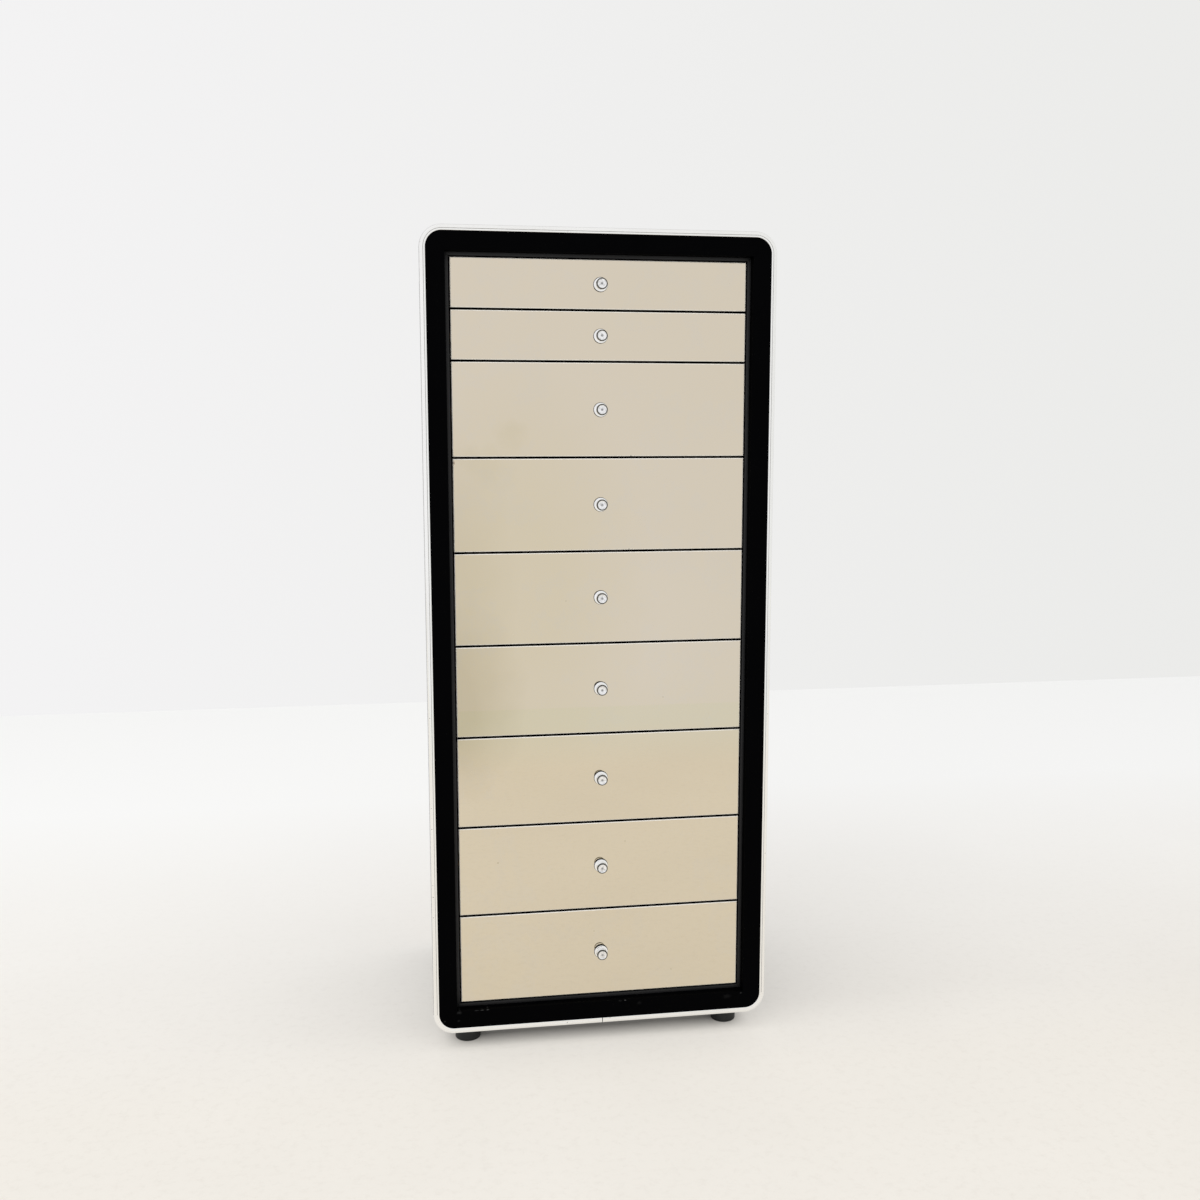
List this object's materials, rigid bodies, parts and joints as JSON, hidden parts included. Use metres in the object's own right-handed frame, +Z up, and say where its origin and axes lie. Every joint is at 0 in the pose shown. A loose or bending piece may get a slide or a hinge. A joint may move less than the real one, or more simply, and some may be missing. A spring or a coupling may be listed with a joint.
{
  "type": "chest of drawers",
  "caption": "Tall narrow chest of inset drawers with tinted mirror fronts and turned chrome knobs, in a black case with a bright rounded rim on round feet.",
  "frame": {"origin": "on the floor, below the middle of the whole chest with its knobs", "axes": "+X to the right seen from the front, +Y to the back, +Z up; the drawers open towards -Y"},
  "size_m": [0.5, 0.4006, 1.1845],
  "materials": {
    "case_laminate": "black satin laminate on board",
    "back_hardboard": "plain hardboard",
    "frame_black": "black lacquer, low sheen",
    "lip_grey": "dark grey satin edging",
    "rim_polished": "polished bright",
    "runner_wood": "planed beech",
    "foot_plastic": "moulded black",
    "screw_steel": "zinc plated",
    "tinted_mirror": "champagne tinted mirror glass",
    "front_board": "black edged board",
    "drawer_wood": "clear varnished beech plywood",
    "drawer_hardboard": "white faced hardboard",
    "knob_chrome": "bright chrome"
  },
  "bodies": {
    "case": {"left_side": "case_laminate", "right_side": "case_laminate", "top_panel": "case_laminate", "base_panel": "case_laminate", "corner_posts": "case_laminate", "back_panel": "back_hardboard", "front_frame": "frame_black", "lip_frame": "lip_grey", "rim_trim": "rim_polished", "runners_left": "runner_wood", "runners_right": "runner_wood", "feet": "foot_plastic", "foot_screws": "screw_steel", "back_screws": "screw_steel", "runner_screws": "screw_steel"},
    "drawer_1": {"drawer_1_mirror": "tinted_mirror", "drawer_1_front": "front_board", "drawer_1_box": "drawer_wood", "drawer_1_bottom": "drawer_hardboard", "drawer_1_knob": "knob_chrome"},
    "drawer_2": {"drawer_2_mirror": "tinted_mirror", "drawer_2_front": "front_board", "drawer_2_box": "drawer_wood", "drawer_2_bottom": "drawer_hardboard", "drawer_2_knob": "knob_chrome"},
    "drawer_3": {"drawer_3_mirror": "tinted_mirror", "drawer_3_front": "front_board", "drawer_3_box": "drawer_wood", "drawer_3_bottom": "drawer_hardboard", "drawer_3_knob": "knob_chrome"},
    "drawer_4": {"drawer_4_mirror": "tinted_mirror", "drawer_4_front": "front_board", "drawer_4_box": "drawer_wood", "drawer_4_bottom": "drawer_hardboard", "drawer_4_knob": "knob_chrome"},
    "drawer_5": {"drawer_5_mirror": "tinted_mirror", "drawer_5_front": "front_board", "drawer_5_box": "drawer_wood", "drawer_5_bottom": "drawer_hardboard", "drawer_5_knob": "knob_chrome"},
    "drawer_6": {"drawer_6_mirror": "tinted_mirror", "drawer_6_front": "front_board", "drawer_6_box": "drawer_wood", "drawer_6_bottom": "drawer_hardboard", "drawer_6_knob": "knob_chrome"},
    "drawer_7": {"drawer_7_mirror": "tinted_mirror", "drawer_7_front": "front_board", "drawer_7_box": "drawer_wood", "drawer_7_bottom": "drawer_hardboard", "drawer_7_knob": "knob_chrome"},
    "drawer_8": {"drawer_8_mirror": "tinted_mirror", "drawer_8_front": "front_board", "drawer_8_box": "drawer_wood", "drawer_8_bottom": "drawer_hardboard", "drawer_8_knob": "knob_chrome"},
    "drawer_9": {"drawer_9_mirror": "tinted_mirror", "drawer_9_front": "front_board", "drawer_9_box": "drawer_wood", "drawer_9_bottom": "drawer_hardboard", "drawer_9_knob": "knob_chrome"}
  },
  "joints": [
    {"name": "drawer_1_slide", "type": "slide", "parent": "case", "child": "drawer_1", "axis": [0, -1, 0], "range_m": [0, 0.24]},
    {"name": "drawer_2_slide", "type": "slide", "parent": "case", "child": "drawer_2", "axis": [0, -1, 0], "range_m": [0, 0.24]},
    {"name": "drawer_3_slide", "type": "slide", "parent": "case", "child": "drawer_3", "axis": [0, -1, 0], "range_m": [0, 0.24]},
    {"name": "drawer_4_slide", "type": "slide", "parent": "case", "child": "drawer_4", "axis": [0, -1, 0], "range_m": [0, 0.24]},
    {"name": "drawer_5_slide", "type": "slide", "parent": "case", "child": "drawer_5", "axis": [0, -1, 0], "range_m": [0, 0.24]},
    {"name": "drawer_6_slide", "type": "slide", "parent": "case", "child": "drawer_6", "axis": [0, -1, 0], "range_m": [0, 0.24]},
    {"name": "drawer_7_slide", "type": "slide", "parent": "case", "child": "drawer_7", "axis": [0, -1, 0], "range_m": [0, 0.24]},
    {"name": "drawer_8_slide", "type": "slide", "parent": "case", "child": "drawer_8", "axis": [0, -1, 0], "range_m": [0, 0.24]},
    {"name": "drawer_9_slide", "type": "slide", "parent": "case", "child": "drawer_9", "axis": [0, -1, 0], "range_m": [0, 0.24]}
  ]
}
